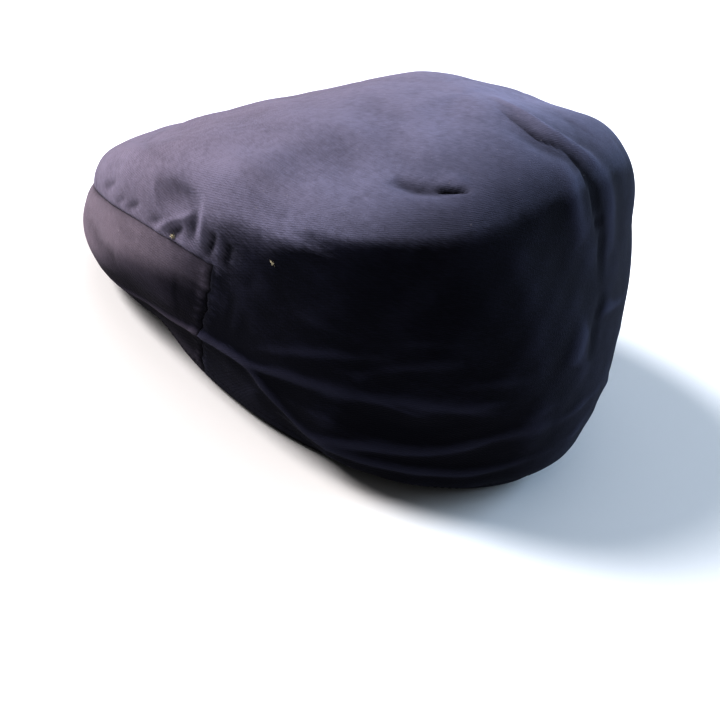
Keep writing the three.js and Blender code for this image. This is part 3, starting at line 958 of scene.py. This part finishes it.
def cloth_material(name, deep, light, painted_lit_colour, painted_lit_back_colour, painted_light_range, sheen_tint, brush, crest_wear_and_highlight):
    """Brushed cotton twill: deep and light are its threads, and the two colours after them are painted
    light, the paler colour of lit cloth at the front and towards the back.

    The painted light shows over the range given next, as the cloth turns from facing away from SUNWARD to
    facing it, and turns to the back colour, and to less of it, as painted shade, towards the back. brush is
    how streaky the painted light is, and the last how much more of it there is for each millimetre that a
    crest stands up: partly wear, partly painted highlight.
    """
    nodes = Nodes(name)
    spot = nodes.node("ShaderNodeTexCoord").outputs["Object"]
    backward = nodes.node("ShaderNodeSeparateXYZ", {0: spot}).outputs["Y"]
    crest = nodes.attribute("crest")
    ribs, streaks, mottle = cloth_grain(nodes, spot)
    patches, fuzz, fleece, dust = (nodes.noise(spot, *row) for row in SPECKS.values())

    # Threads are painted lighter on crests, partly wear and partly painted highlight, and darker in hollows,
    # as painted shade.
    tone = nodes.total(-0.9, (streaks, 1.5), (ribs, 0.22), (mottle, 0.6), (crest, CREST_WEAR_AND_HIGHLIGHT))
    threads = nodes.blend(tone, deep, light)
    # Painted light: cloth facing the light, and the crown's front and peak, is painted a paler colour as if
    # lit, less so towards the back as painted shade.
    painted_light = painted_light_edge(nodes, streaks, patches, painted_light_range, brush)
    painted_light_mottle = nodes.total(0.55 - 0.25 * brush, (streaks, 0.5 * brush), (fuzz, 0.36), (patches, 0.4))
    painted_cover = painted_light_cover(nodes, painted_light, backward, painted_light_mottle, crest, crest_wear_and_highlight)
    colour = nodes.blend(painted_cover, threads, nodes.blend(nodes.ramp(backward, *PAINTED_LIGHT_COOLING), painted_lit_colour, painted_lit_back_colour))
    fleck = nodes.math("MULTIPLY", nodes.ramp(dust, 0.74, 0.84, most=0.2), painted_light)
    height = nodes.total(fleece, (streaks, 0.9), (ribs, 0.3))
    return nodes.finish({
        "Base Color": nodes.blend(fleck, colour, DUST),
        "Normal": nodes.bump(height, strength=0.6, distance=0.0003),
        "Roughness": 0.88,
        "Specular IOR Level": 0.1,
        "Sheen Weight": 0.06,
        "Sheen Roughness": 0.5,
        "Sheen Tint": (*sheen_tint, 1),
    })


def fibre_material(name, dark, light, pitch, rough):
    """Twisted thread or loose fibre: slanting plies with paler, uneven fibres over them."""
    nodes = Nodes(name)
    spot = nodes.node("ShaderNodeTexCoord").outputs["Object"]
    plies = nodes.bands(spot, pitch, "DIAGONAL", distortion=1.2)
    tone = nodes.total(nodes.noise(spot, 240, 2), (nodes.noise(spot, 2600, 3), 0.5), (plies, 0.4))
    tone = nodes.ramp(tone, 0.5, 1.4)
    return nodes.finish({
        "Base Color": nodes.blend(tone, dark, light),
        "Normal": nodes.bump(tone, strength=0.5, distance=0.0001),
        "Roughness": rough,
        "Specular IOR Level": 0.2,
    })


# In each cloth, the two paler colours are painted light: the colour of lit cloth at the front and towards
# the back. The band's are close to its threads and hardly show.
CLOTHS = dict(
    crown=dict(
        name="brushed_twill_crown", deep=(0.004, 0.0045, 0.011), light=(0.014, 0.015, 0.032),
        painted_lit_colour=(0.209, 0.189, 0.238), painted_lit_back_colour=(0.17, 0.178, 0.25), painted_light_range=(-0.37, -0.04),
        sheen_tint=(0.8, 0.8, 1.0), brush=1.0, crest_wear_and_highlight=0.12,
    ),
    peak=dict(
        name="brushed_twill_peak", deep=(0.005, 0.005, 0.011), light=(0.016, 0.015, 0.03),
        painted_lit_colour=(0.19, 0.165, 0.195), painted_lit_back_colour=(0.16, 0.15, 0.2), painted_light_range=(-0.4, 0.15),
        sheen_tint=(0.9, 0.82, 0.95), brush=0.4, crest_wear_and_highlight=0.3,
    ),
    band=dict(
        name="cotton_tape", deep=(0.004, 0.004, 0.009), light=(0.012, 0.012, 0.02),
        painted_lit_colour=(0.02, 0.02, 0.03), painted_lit_back_colour=(0.02, 0.02, 0.03), painted_light_range=(0.5, 1.0),
        sheen_tint=(0.8, 0.8, 1.0), brush=0.4, crest_wear_and_highlight=0.0,
    ),
)
FIBRES = dict(
    thread=dict(
        name="navy_thread", dark=(0.006, 0.006, 0.014), light=(0.02, 0.02, 0.036), pitch=0.0005, rough=0.7
    ),
    lint=dict(name="pale_lint", dark=(0.3, 0.27, 0.2), light=(0.62, 0.58, 0.46), pitch=0.0004, rough=0.9),
)

# ---- Stage: floor, lights and camera ----
# The camera's direction and distance, in metres, from the middle of the head opening. It is turned
# about its own axis too, so that the cap is seen tipped, as it sits on a head.
CAMERA = dict(azimuth=115.0, elevation=32.3, roll=-18.9, distance=0.520, lens=56.5)


def camera_axes():
    """The camera's right, up and back."""
    azimuth, elevation, roll = (math.radians(CAMERA[key]) for key in ("azimuth", "elevation", "roll"))
    back = Vector((
        math.sin(azimuth) * math.cos(elevation),
        -math.cos(azimuth) * math.cos(elevation),
        math.sin(elevation),
    ))
    level = Vector((math.cos(azimuth), math.sin(azimuth), 0))
    upright = back.cross(level)
    right = level * math.cos(roll) - upright * math.sin(roll)
    up = level * math.sin(roll) + upright * math.cos(roll)
    return right, up, back


def make_camera():
    right, up, back = camera_axes()
    data = bpy.data.cameras.new("camera")
    data.lens = CAMERA["lens"]
    data.clip_start = 0.01
    camera = bpy.data.objects.new("camera", data)
    turn = Matrix((right, up, back)).transposed().to_4x4()
    camera.matrix_world = Matrix.Translation(OPENING + back * CAMERA["distance"]) @ turn
    bpy.context.scene.collection.objects.link(camera)
    bpy.context.scene.camera = camera


# Soft suns, each from a direction: the key from the front and the cap's left, a cool window from
# behind and its right, and a weak ceiling.
LIGHTS = (
    dict(name="key", towards=(0.37, -0.69, 0.62), strength=6.1, softness=24, colour=(1.0, 0.965, 0.955)),
    dict(name="window", towards=(-0.86, 0.42, 0.28), strength=6.2, softness=40, colour=(0.66, 0.82, 1.0)),
    dict(name="ceiling", towards=(-0.25, -0.1, 1.0), strength=0.5, softness=60, colour=(1.0, 0.98, 1.0)),
)
SKY = 0.3
FLOOR = dict(size=16, colour=(0.72, 0.72, 0.72), rough=0.9)
VIEW_GAMMA = 0.62


def make_sun(name, towards, strength, softness, colour):
    data = bpy.data.lights.new(name, "SUN")
    data.energy = strength
    data.angle = math.radians(softness)
    data.color = colour
    light = bpy.data.objects.new(name, data)
    light.rotation_euler = Vector(towards).to_track_quat("Z", "Y").to_euler()
    bpy.context.scene.collection.objects.link(light)


def make_floor():
    bpy.ops.mesh.primitive_plane_add(size=FLOOR["size"])
    floor = bpy.context.object
    floor.name = "floor"
    paper = {"Base Color": (*FLOOR["colour"], 1), "Roughness": FLOOR["rough"]}
    floor.data.materials.append(Nodes("floor_paper").finish(paper))


def make_world():
    world = bpy.data.worlds.new("studio")
    world.use_nodes = True
    background = world.node_tree.nodes["Background"]
    background.inputs["Color"].default_value = (1, 1, 1, 1)
    background.inputs["Strength"].default_value = SKY
    scene = bpy.context.scene
    scene.world = world
    scene.view_settings.view_transform = "Standard"
    scene.view_settings.gamma = VIEW_GAMMA


# ---- Assembly ----
def finish_piece(piece, material, node=None):
    piece.data.materials.append(material)
    if node:
        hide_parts(node)
    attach(piece, "root")


finish_piece(make_crown(), cloth_material(**CLOTHS["crown"]), "crown")
finish_piece(make_peak(), cloth_material(**CLOTHS["peak"]), "peak")
finish_piece(make_band(), cloth_material(**CLOTHS["band"]), "band")

thread_material = fibre_material(**FIBRES["thread"])
finish_piece(make_hem_stitches(), thread_material)
finish_piece(make_band_stitches(), thread_material)
finish_piece(make_lint(), fibre_material(**FIBRES["lint"]))

make_floor()
make_world()
for light_row in LIGHTS:
    make_sun(**light_row)
make_camera()
